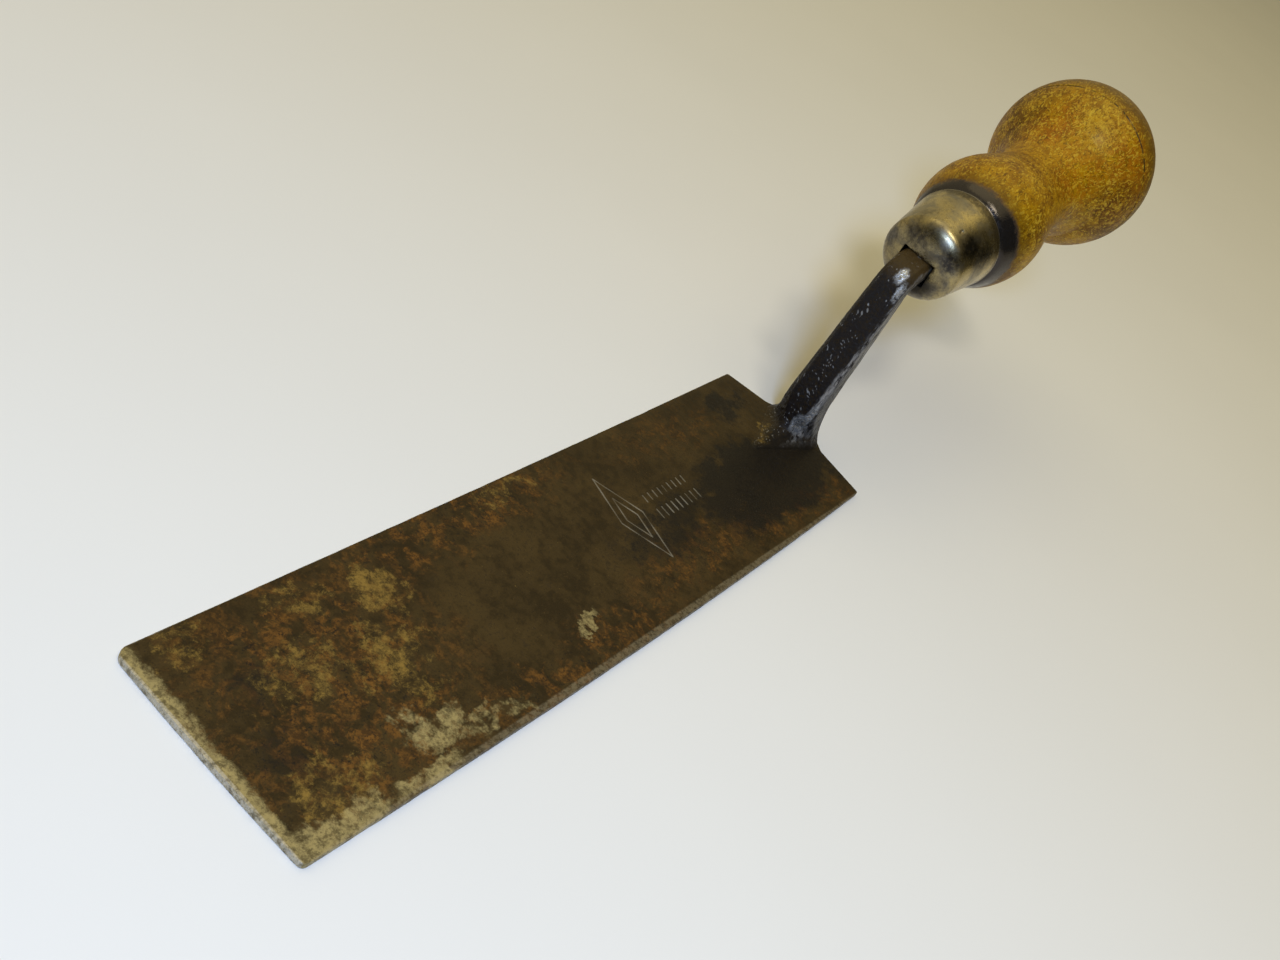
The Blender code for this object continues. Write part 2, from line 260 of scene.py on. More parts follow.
def plate_outline():
    tip_left = (-BLADE_HALF_LENGTH, TIP_HALF_WIDTH)
    tip_right = (-BLADE_HALF_LENGTH, -TIP_HALF_WIDTH)
    heel_right = (HEEL_CORNER_X, -HEEL_HALF_WIDTH)
    heel_left = (HEEL_CORNER_X, HEEL_HALF_WIDTH)
    corners = [tip_left + (TIP_RADIUS_LEFT,)]
    corners += bulged_edge(tip_left, tip_right, TIP_BULGE, 26)[2:-1]
    corners += [tip_right + (TIP_RADIUS_RIGHT,)]
    corners += bulged_edge(tip_right, heel_right, WORN_SIDE_BULGE, 120)[1:]
    corners += [heel_right + (HEEL_RADIUS,)]
    corners += [(SHOULDER_X, NECK_Y - TAB_HALF_WIDTH, SHOULDER_FILLET)]
    corners += [(TAB_END_X, NECK_Y - TAB_END_HALF_WIDTH, TAB_END_RADIUS)]
    corners += [(TAB_END_X, NECK_Y + TAB_END_HALF_WIDTH, TAB_END_RADIUS)]
    corners += [(SHOULDER_X, NECK_Y + TAB_HALF_WIDTH, SHOULDER_FILLET)]
    corners += [heel_left + (HEEL_RADIUS,)]
    corners += bulged_edge(heel_left, tip_left, FAR_SIDE_BULGE, 120)[:-2]
    return round_corners(corners)


def grid_lines():
    # Cuts across and along the top face, closer at the stamp and the neck.
    across = [-86.0 + 4.0 * i for i in range(23)]
    across += [10.5 + 0.21 * i for i in range(150)]
    across += [44.0, 48.0, 52.0, 56.0, 60.0, 63.0]
    across += [65.0 + 0.7 * i for i in range(39)]
    along = [-18.0, -15.5]
    along += [-11.5 + 0.21 * i for i in range(115)]
    along += [16.5, 18.5]
    return [x * MM for x in across], [y * MM for y in along]


def cut_top(bm, top_z):
    across, along = grid_lines()
    for spot, axis in [(x, 0) for x in across] + [(y, 1) for y in along]:
        point = Vector((0.0, 0.0, 0.0))
        point[axis] = spot
        normal = Vector((0.0, 0.0, 0.0))
        normal[axis] = 1.0
        faces = [f for f in bm.faces if f.calc_center_median().z > top_z - 1e-6
                 and f.normal.z > 0.9]
        edges = {e for f in faces for e in f.edges}
        verts = {v for f in faces for v in f.verts}
        bmesh.ops.bisect_plane(bm, geom=list(verts) + list(edges) + faces,
                               plane_co=point, plane_no=normal)


def segment_distance(point, start, end):
    run = end - start
    t = max(0.0, min(1.0, (point - start).dot(run) / run.length_squared))
    return (point - start - run * t).length


def lozenge(scale):
    half = STAMP_HALF * scale
    corners = [STAMP_CENTRE + Vector(way) for way in (
        (0.0, -half.y), (-half.x, 0.0), (0.0, half.y), (half.x, 0.0))]
    return list(zip(corners, corners[1:] + corners[:1]))


def stamp_strokes():
    # Two nested lozenges, and two plain rows of ticks beside them.
    strokes = lozenge(1.0) + lozenge(STAMP_INNER)
    for row, tall in TICK_ROWS:
        for step in range(TICK_COUNT):
            x = TICK_START + TICK_PITCH * step
            strokes.append((Vector((x, row - tall / 2.0)),
                            Vector((x + 0.3 * MM, row + tall / 2.0))))
    return strokes


def press_stamp(point, strokes):
    nearest = min(segment_distance(point, a, b) for a, b in strokes)
    patchy = 0.8 + 0.4 * noise.noise(Vector((point.x, point.y, 0.0)) * 300.0)
    groove = math.exp(-(nearest / STAMP_WIDTH) ** 2)
    lip = 0.35 * math.exp(-((nearest - 2.1 * STAMP_WIDTH) / STAMP_WIDTH) ** 2)
    return groove * patchy, lip * patchy


def make_plate():
    bm = bmesh.new()
    verts = [bm.verts.new((p.x, p.y, 0.0)) for p in plate_outline()]
    face = bm.faces.new(verts)
    lifted = bmesh.ops.extrude_face_region(bm, geom=[face])
    top = [v for v in lifted["geom"] if isinstance(v, bmesh.types.BMVert)]
    bmesh.ops.translate(bm, verts=top, vec=(0.0, 0.0, BLADE_THICKNESS))
    bmesh.ops.recalc_face_normals(bm, faces=bm.faces)
    rims = [e for e in bm.edges
            if abs(e.verts[0].co.z - e.verts[1].co.z) < 1e-7]
    bmesh.ops.bevel(bm, geom=rims, offset=EDGE_BEVEL, segments=2, profile=0.6,
                    affect="EDGES", clamp_overlap=True)
    bm.normal_update()
    cut_top(bm, BLADE_THICKNESS)
    strokes = stamp_strokes()
    stamp = bm.verts.layers.float.new("stamp")
    low = STAMP_CENTRE - STAMP_HALF - Vector((2.0, 2.0)) * MM
    high = Vector((TICK_START + TICK_PITCH * TICK_COUNT, STAMP_HALF.y))
    high += Vector((2.0, 2.0)) * MM
    for vert in bm.verts:
        if vert.co.z < BLADE_THICKNESS - 1e-6:
            continue
        spot = Vector((vert.co.x, vert.co.y))
        edge = min(1.0, (HEEL_HALF_WIDTH - abs(spot.y)) / (4.0 * MM))
        edge = max(0.0, edge)
        wave = noise.noise(Vector((spot.x * 30.0, spot.y * 55.0, 1.0)))
        vert.co.z += WAVE_HEIGHT * (wave - 0.5) * edge
        if low.x < spot.x < high.x and low.y < spot.y < high.y:
            groove, lip = press_stamp(spot, strokes)
            vert.co.z += STAMP_DEPTH * (lip - groove)
            vert[stamp] = groove
    return mesh_object("trowel_blade", bm)


def ring(x, z, tilt, front, back, half, nose, cut, tail, tail_cut, y):
    # Eight-sided section.  tilt is the lean of the bar from vertical toward +X;
    # front and back are distances from the centre along the section's depth.
    outline = (
        (front, -nose), (front - cut, -half), (-back + tail_cut, -half),
        (-back, -tail), (-back, tail), (-back + tail_cut, half),
        (front - cut, half), (front, nose),
    )
    return [Vector((x - depth * math.cos(tilt), y + across,
                    z + depth * math.sin(tilt))) for depth, across in outline]


def bar_ring(x, z, tilt, depth, width, y):
    chamfer = min(TANG_CHAMFER, 0.28 * depth)
    half = width / 2.0
    return ring(x, z, tilt, depth / 2.0, depth / 2.0, half, half - chamfer,
                chamfer, half - chamfer, chamfer, y)


def neck_rings():
    # z, front x, back x, half width, nose half width, front cut, rear half
    # width, rear cut: a low spine on the blade gathering into the upright bar.
    rows = (
        (0.35, 67.0, 91.8, 7.6, 0.3, 20.0, 4.2, 3.0),
        (1.60, 69.0, 92.2, 7.4, 0.4, 18.0, 4.1, 3.0),
        (2.60, 76.5, 92.2, 6.4, 0.6, 11.0, 3.9, 2.6),
        (4.00, 80.0, 91.9, 5.6, 0.9, 6.5, 3.6, 2.2),
        (6.00, 80.8, 91.0, 5.1, 1.4, 4.2, 3.4, 1.8),
        (9.00, 80.4, 89.6, 4.75, 2.4, 2.2, 3.3, 1.4),
        (12.5, 80.2, 88.3, 4.5, 3.1, 1.3, 3.3, 1.2),
        (20.0, 80.4, 87.8, 4.3, 3.1, 1.2, 3.2, 1.1),
        (30.0, 81.4, 87.9, 4.1, 3.0, 1.1, 3.0, 1.1),
    )
    rings = []
    for z, front, back, half, nose, cut, tail, tail_cut in rows:
        rings.append(ring(0.0, z * MM, 0.0, -front * MM, back * MM, half * MM,
                          nose * MM, cut * MM, tail * MM, tail_cut * MM,
                          NECK_Y + 0.8 * MM * z / 43.7))
    return rings


def spike_rings(grow):
    # Straight tapered spike from the mouth of the ferrule into the wood.
    tilt = math.pi / 2.0 - HANDLE_RISE
    start_s = FERRULE_NOSE_S - 0.4 * MM
    place = handle_matrix()
    rings = []
    for step in range(4):
        t = step / 3.0
        s = start_s + (SPIKE_TIP_S + grow - start_s) * t
        depth = TANG_DEPTH_TOP + (SPIKE_TIP_SIZE - TANG_DEPTH_TOP) * t
        width = TANG_WIDTH_TOP + (SPIKE_TIP_SIZE - TANG_WIDTH_TOP) * t
        spot = place @ Vector((-TANG_DROP, TANG_SIDE, s))
        rings.append(bar_ring(spot.x, spot.z, tilt, depth + 2.0 * grow,
                              width + 2.0 * grow, spot.y))
    return rings


def tang_rings():
    # The upright bar, the bend at the ferrule mouth, then the buried spike.
    end_tilt = math.pi / 2.0 - HANDLE_RISE
    mouth = handle_matrix() @ Vector((-TANG_DROP, TANG_SIDE,
                                      FERRULE_NOSE_S - 0.4 * MM))
    start_x = mouth.x - 0.7 * MM - BEND_RADIUS * (1.0 - math.sin(HANDLE_RISE))
    start_z = mouth.z - 0.15 * MM - BEND_RADIUS * math.cos(HANDLE_RISE)
    rings = neck_rings()
    for step in range(BEND_STEPS):
        tilt = end_tilt * step / (BEND_STEPS - 1)
        rings.append(bar_ring(
            start_x + BEND_RADIUS * (1.0 - math.cos(tilt)),
            start_z + BEND_RADIUS * math.sin(tilt),
            tilt, TANG_DEPTH_TOP, TANG_WIDTH_TOP, mouth.y))
    return rings + spike_rings(0.0)


def loft(name, rings):
    bm = bmesh.new()
    rows = [[bm.verts.new(p) for p in points] for points in rings]
    count = len(rows[0])
    for low, high in zip(rows, rows[1:]):
        for i in range(count):
            j = (i + 1) % count
            bm.faces.new((low[i], low[j], high[j], high[i]))
    bm.faces.new(rows[0][::-1])
    bm.faces.new(rows[-1])
    bmesh.ops.recalc_face_normals(bm, faces=bm.faces)
    return mesh_object(name, bm)


def forged_tang():
    # The faceted bar with its arrises softened and its faces hammered.
    tang = loft("tang", tang_rings())
    remesh = tang.modifiers.new("remesh", "REMESH")
    remesh.mode = "VOXEL"
    remesh.voxel_size = TANG_VOXEL
    smooth = tang.modifiers.new("soften", "SMOOTH")
    smooth.factor = 0.5
    smooth.iterations = 3
    apply_modifiers(tang)
    bm = bmesh.new()
    bm.from_mesh(tang.data)
    bm.normal_update()
    for vert in bm.verts:
        facet = noise.noise(vert.co * 190.0)
        pit = max(0.0, noise.noise(vert.co * 900.0) - 0.25)
        vert.co += vert.normal * (HAMMER_DEPTH * (0.7 * facet - 0.9 * pit))
    bm.to_mesh(tang.data)
    bm.free()
    return tang


def soften_neck(blade):
    # Melts the neck into the plate: only points on and above the top face move.
    group = blade.vertex_groups.new(name="neck_blend")
    for vert in blade.data.vertices:
        point = vert.co
        if point.z < BLADE_THICKNESS * 0.55:
            continue
        reach = max(0.0, 1.0 - abs(point.y - NECK_Y) / (12.0 * MM))
        ahead = max(0.0, min(1.0, (point.x - 64.0 * MM) / (6.0 * MM)))
        height = max(0.0, 1.0 - (point.z - BLADE_THICKNESS) / BLEND_TOP_Z)
        weight = min(1.0, 2.0 * reach) * ahead * min(1.0, 1.4 * height)
        if point.z < BLADE_THICKNESS - 0.05 * MM:
            weight = 0.0
        if weight > 0.0:
            group.add([vert.index], min(1.0, weight), "REPLACE")
    smooth = blade.modifiers.new("soften", "SMOOTH")
    smooth.vertex_group = group.name
    smooth.factor = 0.5
    smooth.iterations = BLEND_ROUNDS
    apply_modifiers(blade)


def mark_wear(body, name, rounds, gain, from_z=-1.0):
    # Stores how proud each point stands of its neighbours, for worn arrises.
    bm = bmesh.new()
    bm.from_mesh(body.data)
    bm.normal_update()
    bm.verts.ensure_lookup_table()
    values = []
    for vert in bm.verts:
        near = [e.other_vert(vert).co for e in vert.link_edges]
        if not near:
            values.append(0.0)
            continue
        middle = sum(near, Vector()) / len(near)
        span = sum((p - vert.co).length for p in near) / len(near)
        values.append((vert.co - middle).dot(vert.normal) / max(span, 1e-9))
    for _ in range(rounds):
        values = [0.5 * values[v.index] + 0.5 * sum(
            values[e.other_vert(v).index] for e in v.link_edges)
            / max(1, len(v.link_edges)) for v in bm.verts]
    bm.free()
    layer = body.data.attributes.new(name, "FLOAT", "POINT")
    clear = [body.data.vertices[i].co.z > from_z for i in range(len(values))]
    layer.data.foreach_set("value", [max(0.0, min(1.0, v * gain)) if c else 0.0
                                     for v, c in zip(values, clear)])


def make_blade():
    blade = make_plate()
    add_boolean(blade, forged_tang(), "UNION")
    soften_neck(blade)
    mark_wear(blade, "wear", 1, 8.0, WEAR_FROM_Z)
    shade(blade, 40.0)
    return blade


def turned(name, profile, steps, radius_at=None):
    # profile is (radius, s) from one end of the axis to the other.
    bm = bmesh.new()
    rows = []
    for radius, s in profile:
        if radius < 1e-7:
            rows.append([bm.verts.new((0.0, 0.0, s))])
            continue
        row = []
        for step in range(steps):
            angle = 2.0 * math.pi * step / steps
            size = radius if radius_at is None else radius_at(radius, s, angle)
            row.append(bm.verts.new((size * math.cos(angle),
                                     size * math.sin(angle), s)))
        rows.append(row)
    for low, high in zip(rows, rows[1:]):
        for i in range(steps):
            j = (i + 1) % steps
            if len(low) == 1:
                bm.faces.new((low[0], high[j], high[i]))
            elif len(high) == 1:
                bm.faces.new((low[i], low[j], high[0]))
            else:
                bm.faces.new((low[i], low[j], high[j], high[i]))
    if len(rows[0]) > 1 and len(rows[-1]) > 1:
        for i in range(steps):
            j = (i + 1) % steps
            bm.faces.new((rows[-1][i], rows[-1][j], rows[0][j], rows[0][i]))
    bmesh.ops.recalc_face_normals(bm, faces=bm.faces)
    return mesh_object(name, bm, handle_matrix())


def dome_profile(radius, shoulder_s, nose_s):
    # Blunt superelliptic nose from the shoulder to the axis.
    points = []
    for step in range(1, DOME_STEPS + 1):
        t = math.pi / 2.0 * step / DOME_STEPS
        across = radius * max(0.0, math.cos(t)) ** (2.0 / DOME_POWER)
        drop = (shoulder_s - nose_s) * math.sin(t) ** (2.0 / DOME_POWER)
        points.append((0.0 if step == DOME_STEPS else across, shoulder_s - drop))
    return points


def ferrule_radius(s):
    slope = (FERRULE_RIM_RADIUS - FERRULE_NOSE_RADIUS) / -FERRULE_SHOULDER_S
    return FERRULE_RIM_RADIUS + slope * s


def ferrule_profile():
    inner_radius = FERRULE_NOSE_RADIUS - FERRULE_WALL
    inner = dome_profile(inner_radius, FERRULE_SHOULDER_S,
                         FERRULE_NOSE_S + FERRULE_WALL)[::-1]
    inner += [(inner_radius, FERRULE_SHOULDER_S)]
    inner += [(FERRULE_RIM_RADIUS - FERRULE_WALL, -0.2 * MM)]
    inner += [(FERRULE_RIM_RADIUS - FERRULE_WALL + 0.15 * MM, 0.0)]
    outer = []
    for step in range(5):
        t = math.pi / 2.0 * step / 4.0
        outer.append((FERRULE_RIM_RADIUS - FERRULE_LIP * (1.0 - math.sin(t)),
                      -FERRULE_LIP * (1.0 - math.cos(t))))
    for step in range(1, 24):
        s = -FERRULE_LIP + (FERRULE_SHOULDER_S + FERRULE_LIP) * step / 24.0
        outer.append((ferrule_radius(s), s))
    outer += [(FERRULE_NOSE_RADIUS, FERRULE_SHOULDER_S)]
    outer += dome_profile(FERRULE_NOSE_RADIUS, FERRULE_SHOULDER_S, FERRULE_NOSE_S)
    return inner + outer


def dented(radius, s, angle):
    # Slight handling dents on the outer skin; the bore stays true.
    if radius < ferrule_radius(s) - 0.5 * FERRULE_WALL:
        return radius
    spot = Vector((math.cos(angle), math.sin(angle), s / (9.0 * MM)))
    return radius - 0.06 * MM * (0.5 + noise.noise(spot * 2.3))


def window_cutter():
    # Rounded-rectangle prism through the nose.
    bm = bmesh.new()
    outline = round_corners([
        (WINDOW_TOP, TANG_SIDE + WINDOW_WIDTH / 2.0, 0.5 * MM),
        (WINDOW_TOP, TANG_SIDE - WINDOW_WIDTH / 2.0, 0.35 * MM),
        (WINDOW_BOTTOM, TANG_SIDE - WINDOW_WIDTH / 2.0, 0.6 * MM),
        (WINDOW_BOTTOM, TANG_SIDE + WINDOW_WIDTH / 2.0, 0.6 * MM),
    ], 4)
    base = [bm.verts.new((p.x, p.y, FERRULE_NOSE_S - 2.0 * MM)) for p in outline]
    lifted = bmesh.ops.extrude_face_region(bm, geom=[bm.faces.new(base)])
    top = [v for v in lifted["geom"] if isinstance(v, bmesh.types.BMVert)]
    bmesh.ops.translate(bm, verts=top, vec=(0.0, 0.0, 4.6 * MM))
    bmesh.ops.recalc_face_normals(bm, faces=bm.faces)
    return mesh_object("window_cutter", bm, handle_matrix())


def make_ferrule():
    ferrule = turned("trowel_ferrule", ferrule_profile(), 160, dented)
    add_boolean(ferrule, window_cutter(), "DIFFERENCE")
    bm = bmesh.new()
    bmesh.ops.create_uvsphere(bm, u_segments=20, v_segments=12,
                              radius=DIMPLE_RADIUS)
    reach = ferrule_radius(DIMPLE_S) + 0.2 * DIMPLE_RADIUS
    spot = Matrix.Translation((reach * math.cos(DIMPLE_ANGLE),
                               -reach * math.sin(DIMPLE_ANGLE), DIMPLE_S))
    stretch = Matrix.Diagonal((1.0, 0.8, 1.7, 1.0))
    dimple = mesh_object("dimple", bm, handle_matrix() @ spot @ stretch)
    add_boolean(ferrule, dimple, "DIFFERENCE")
    bevel = ferrule.modifiers.new("eased", "BEVEL")
    bevel.width = 0.16 * MM
    bevel.segments = 2
    bevel.limit_method = "ANGLE"
    bevel.angle_limit = math.radians(50.0)
    apply_modifiers(ferrule)
    mark_wear(ferrule, "wear", 0, 2.5)
    shade(ferrule, 38.0)
    return ferrule


def smooth_curve(points, samples):
    # Catmull-Rom samples through (s, radius) points.
    result = []
    spans = len(points) - 1
    for index in range(samples + 1):
        place = spans * index / samples
        k = min(int(place), spans - 1)
        t = place - k
        before = points[max(k - 1, 0)]
        here = points[k]
        there = points[k + 1]
        after = points[min(k + 2, spans)]
        value = []
        for axis in (0, 1):
            a, b, c, d = before[axis], here[axis], there[axis], after[axis]
            value.append(0.5 * (2.0 * b + (c - a) * t
                         + (2.0 * a - 5.0 * b + 4.0 * c - d) * t * t
                         + (3.0 * b - a - 3.0 * c + d) * t ** 3))
        result.append((value[0], value[1]))
    return result


def handle_profile():
    outer = [(0.0, BALL_S + BALL_RADIUS)]
    start_angle = math.acos((BALL_JOIN_S - BALL_S) / BALL_RADIUS)
    scribe = math.acos((SCRIBE_S - BALL_S) / BALL_RADIUS)
    angles = [start_angle * i / BALL_STEPS for i in range(1, BALL_STEPS + 1)]
    fine = SCRIBE_HALF_WIDTH / BALL_RADIUS / 2.0
    angles = [a for a in angles if abs(a - scribe) > 4.6 * fine]
    angles += [scribe + fine * i for i in range(-4, 5)]
    for angle in sorted(angles):
        outer.append((BALL_RADIUS * math.sin(angle),
                      BALL_S + BALL_RADIUS * math.cos(angle)))
    turned_part = [(s * MM, radius * MM) for s, radius in BEAD_POINTS]
    join = math.sqrt(BALL_RADIUS ** 2 - (BALL_JOIN_S - BALL_S) ** 2)
    turned_part.append((BALL_JOIN_S, join))
    for s, radius in smooth_curve(turned_part, BEAD_STEPS)[-2::-1]:
        outer.append((radius, s))
    spigot_root = FERRULE_RIM_RADIUS - FERRULE_WALL - FIT_GAP
    spigot_tip = FERRULE_NOSE_RADIUS - FERRULE_WALL - FIT_GAP
    outer.append((spigot_root, FIT_GAP))
    outer.append((spigot_tip, FERRULE_SHOULDER_S + SPIGOT_CHAMFER))
    outer.append((spigot_tip - SPIGOT_CHAMFER, FERRULE_SHOULDER_S))
    outer.append((0.0, FERRULE_SHOULDER_S))
    return outer


def worn_wood(radius, s, angle):
    # Hand wear, and the scribed line, which has filled in for short stretches.
    if s < 0.4 * MM:
        return radius
    round_spot = Vector((math.cos(angle), math.sin(angle), s / (22.0 * MM)))
    size = radius + 0.07 * MM * noise.noise(round_spot * 1.6)
    size += 0.018 * MM * noise.noise(round_spot * 9.0)
    away = abs(s - SCRIBE_S) / SCRIBE_HALF_WIDTH
    if away < 2.5:
        gap = noise.noise(Vector((math.cos(angle), math.sin(angle), 5.0)) * 4.0)
        depth = SCRIBE_DEPTH * max(0.1, min(1.0, 0.85 + 1.8 * gap))
        size -= depth * math.exp(-away * away * 1.6)
    return size


def make_handle():
    handle = turned("trowel_handle", handle_profile(), TURN_STEPS, worn_wood)
    add_boolean(handle, loft("socket", spike_rings(FIT_GAP)), "DIFFERENCE")
    shade(handle, 45.0)
    return handle


# --------------------------------------------------------------- materials

class Net:
    """Wires shader nodes; coordinates are in millimetres, in the row's axes or
    in the axes of the matrix that is given."""

    def __init__(self, name, axes=None):
        self.material = bpy.data.materials.new(name)
        self.material.use_nodes = True
        self.tree = self.material.node_tree
        self.shader = self.tree.nodes["Principled BSDF"]
        coords = self.tree.nodes.new("ShaderNodeTexCoord")
        spot = coords.outputs["Object"]
        if axes is not None:
            # The given axes may be left-handed; the scale carries the mirror.
            place, turning, mirror = axes.decompose()
            turn = self.tree.nodes.new("ShaderNodeMapping")
            turn.vector_type = "TEXTURE"
            turn.inputs["Location"].default_value = place
            turn.inputs["Rotation"].default_value = turning.to_euler("XYZ")
            turn.inputs["Scale"].default_value = mirror
            self.tree.links.new(spot, turn.inputs["Vector"])
            spot = turn.outputs["Vector"]
        self.where = self.scaled(spot, (1000.0,) * 3)
        split = self.tree.nodes.new("ShaderNodeSeparateXYZ")
        self.tree.links.new(self.where, split.inputs[0])
        self.x, self.y, self.z = split.outputs

    def put(self, socket, value):
        if isinstance(value, bpy.types.NodeSocket):
            self.tree.links.new(value, socket)
        else:
            socket.default_value = value

    def maths(self, operation, a, b=0.0, clamp=False):
        node = self.tree.nodes.new("ShaderNodeMath")
        node.operation = operation
        node.use_clamp = clamp
        self.put(node.inputs[0], a)
        self.put(node.inputs[1], b)
        return node.outputs[0]

    def vector(self, operation, a, b):
        node = self.tree.nodes.new("ShaderNodeVectorMath")
        node.operation = operation
        self.put(node.inputs[0], a)
        self.put(node.inputs[1], b)
        return node.outputs["Value" if operation == "LENGTH" else "Vector"]

    def scaled(self, a, factors):
        return self.vector("MULTIPLY", a, factors)

    def noise(self, size, detail=4.0, rough=0.55, where=None, warp=0.0):
        # size is the feature size in millimetres.
        node = self.tree.nodes.new("ShaderNodeTexNoise")
        self.put(node.inputs["Vector"], where or self.where)
        node.inputs["Scale"].default_value = 1.0 / size
        node.inputs["Detail"].default_value = detail
        node.inputs["Roughness"].default_value = rough
        node.inputs["Distortion"].default_value = warp
        return node.outputs[0]

    def drift(self, size, amount):
        # Coordinates pushed about by a colour noise, for ragged outlines.
        node = self.tree.nodes.new("ShaderNodeTexNoise")
        self.put(node.inputs["Vector"], self.where)
        node.inputs["Scale"].default_value = 1.0 / size
        node.inputs["Detail"].default_value = 4.0
        node.inputs["Roughness"].default_value = 0.65
        shift = self.vector("SUBTRACT", node.outputs["Color"], (0.5,) * 3)
        return self.vector("ADD", self.where, self.scaled(shift, (amount,) * 3))

    def ramp(self, value, low, high, to_low=0.0, to_high=1.0):
        node = self.tree.nodes.new("ShaderNodeMapRange")
        node.interpolation_type = "SMOOTHSTEP"
        self.put(node.inputs["Value"], value)
        node.inputs["From Min"].default_value = low
        node.inputs["From Max"].default_value = high
        node.inputs["To Min"].default_value = to_low
        node.inputs["To Max"].default_value = to_high
        return node.outputs["Result"]

    def mix(self, factor, a, b):
        node = self.tree.nodes.new("ShaderNodeMix")
        node.data_type = "RGBA"
        self.put(node.inputs["Factor"], factor)
        self.put(node.inputs["A"], a if not isinstance(a, tuple) else a + (1.0,))
        self.put(node.inputs["B"], b if not isinstance(b, tuple) else b + (1.0,))
        return node.outputs["Result"]

    def blot(self, where, centre, size, strength=1.0):
        # A soft-edged ellipsoid patch; centre and size in millimetres.
        away = self.vector("SUBTRACT", where, centre)
        away = self.vector("DIVIDE", away, size)
        away = self.vector("LENGTH", away, (0.0, 0.0, 0.0))
        return self.ramp(away, 0.45, 1.25, strength, 0.0)

    def part(self, mask, amount):
        return self.maths("MULTIPLY", mask, amount)

    def most(self, masks):
        total = masks[0]
        for mask in masks[1:]:
            total = self.maths("MAXIMUM", total, mask)
        return total

    def times(self, *masks):
        total = masks[0]
        for mask in masks[1:]:
            total = self.maths("MULTIPLY", total, mask)
        return total

    def attribute(self, name):
        node = self.tree.nodes.new("ShaderNodeAttribute")
        node.attribute_name = name
        return node.outputs["Fac"]

    def bump(self, height, distance, strength=1.0, below=None):
        node = self.tree.nodes.new("ShaderNodeBump")
        node.inputs["Strength"].default_value = strength
        node.inputs["Distance"].default_value = distance * MM
        self.put(node.inputs["Height"], height)
        if below is not None:
            self.put(node.inputs["Normal"], below)
        return node.outputs["Normal"]

    def finish(self, colour, roughness, metallic, normal):
        self.put(self.shader.inputs["Base Color"], colour)
        self.put(self.shader.inputs["Roughness"], roughness)
        self.put(self.shader.inputs["Metallic"], metallic)
        self.put(self.shader.inputs["Normal"], normal)
        return self.material


# Blade patina, linear colours.
BROWN_DARK = (0.026, 0.0155, 0.0045)
BROWN_WARM = (0.062, 0.037, 0.0105)
RUST_DEEP = (0.062, 0.028, 0.007)
RUST_BRIGHT = (0.190, 0.082, 0.014)
BARE_GOLD_AND_GLINT = (0.310, 0.195, 0.045)
BARE_KHAKI = (0.440, 0.350, 0.150)
SCALE_BLACK = (0.010, 0.008, 0.006)
TANG_BLACK = (0.014, 0.011, 0.010)
WORN_STEEL_AND_GLINT = (0.620, 0.620, 0.620)
RUBBED_WARM = (0.420, 0.350, 0.220)
ABRADED_GREY = (0.430, 0.405, 0.380)

# Painted highlights on the tang's facets at its foot and its bend, laid on as bright steel.
TANG_FACET_GLINTS = (
    ((81.4, -1.3, 6.8), (2.4, 1.7, 3.0), 1.00),
    ((80.9, -2.2, 10.4), (1.4, 0.8, 3.6), 0.80),
    ((84.0, 1.0, 48.0), (2.4, 1.2, 1.8), 1.00),
    ((83.2, -0.9, 45.2), (1.6, 0.8, 2.8), 0.85),
)

# Patches on the blade: centre, half size, strength, all in millimetres.
KHAKI_PATCHES = (
    ((-84.0, -18.5, 1.3), (13.0, 4.2, 3.0), 1.00),
    ((-56.0, -13.2, 1.3), (6.5, 3.6, 3.0), 0.95),
    ((-64.0, -19.0, 1.3), (9.0, 2.4, 3.0), 0.75),
    ((-46.0, -17.5, 1.3), (9.0, 2.2, 3.0), 0.60),
    ((-15.5, -13.3, 1.3), (4.6, 1.3, 3.0), 0.80),
)
GOLD_AND_SPINE_GLINT_PATCHES = (
    ((-46.0, 10.5, 1.3), (5.6, 6.0, 3.0), 0.95),
    ((-53.0, -1.0, 1.3), (10.0, 8.5, 3.0), 0.72),
    ((-69.0, 4.0, 1.3), (13.0, 7.0, 3.0), 0.66),
    ((-78.0, -12.5, 1.3), (12.0, 6.0, 3.0), 0.66),
    ((-60.0, 15.0, 1.3), (9.0, 4.0, 3.0), 0.58),
    ((-82.0, 16.0, 1.3), (6.0, 4.0, 3.0), 0.50),
    ((-5.0, 17.5, 1.3), (16.0, 3.0, 3.0), 0.52),
    # Painted highlight: the lit golden facet on the +Y side of the neck's spine.
    ((74.0, 2.6, 1.8), (8.0, 2.4, 3.4), 1.00),
)
RUST_PATCHES = (
    ((-66.0, 0.0, 1.3), (28.0, 24.0, 3.0), 1.00),
    ((-22.0, 17.0, 1.3), (36.0, 7.5, 3.0), 0.95),
    ((-25.0, -17.0, 1.3), (42.0, 6.0, 3.0), 0.85),
    ((24.0, -13.0, 1.3), (26.0, 6.5, 3.0), 0.70),
    ((62.0, -17.0, 1.3), (26.0, 4.5, 3.0), 0.85),
    ((50.0, 14.0, 1.3), (26.0, 6.0, 3.0), 0.45),
)
BLACK_PATCHES = (
    ((63.0, -6.5, 1.3), (28.0, 11.5, 4.0), 1.00),
    ((74.0, 14.0, 1.3), (9.0, 4.5, 3.0), 0.60),
    ((24.0, -5.0, 1.3), (20.0, 7.0, 3.0), 0.35),
    ((-76.0, 7.0, 1.3), (5.0, 4.0, 3.0), 0.30),
    ((-80.0, -5.0, 1.3), (4.0, 6.0, 3.0), 0.25),
)


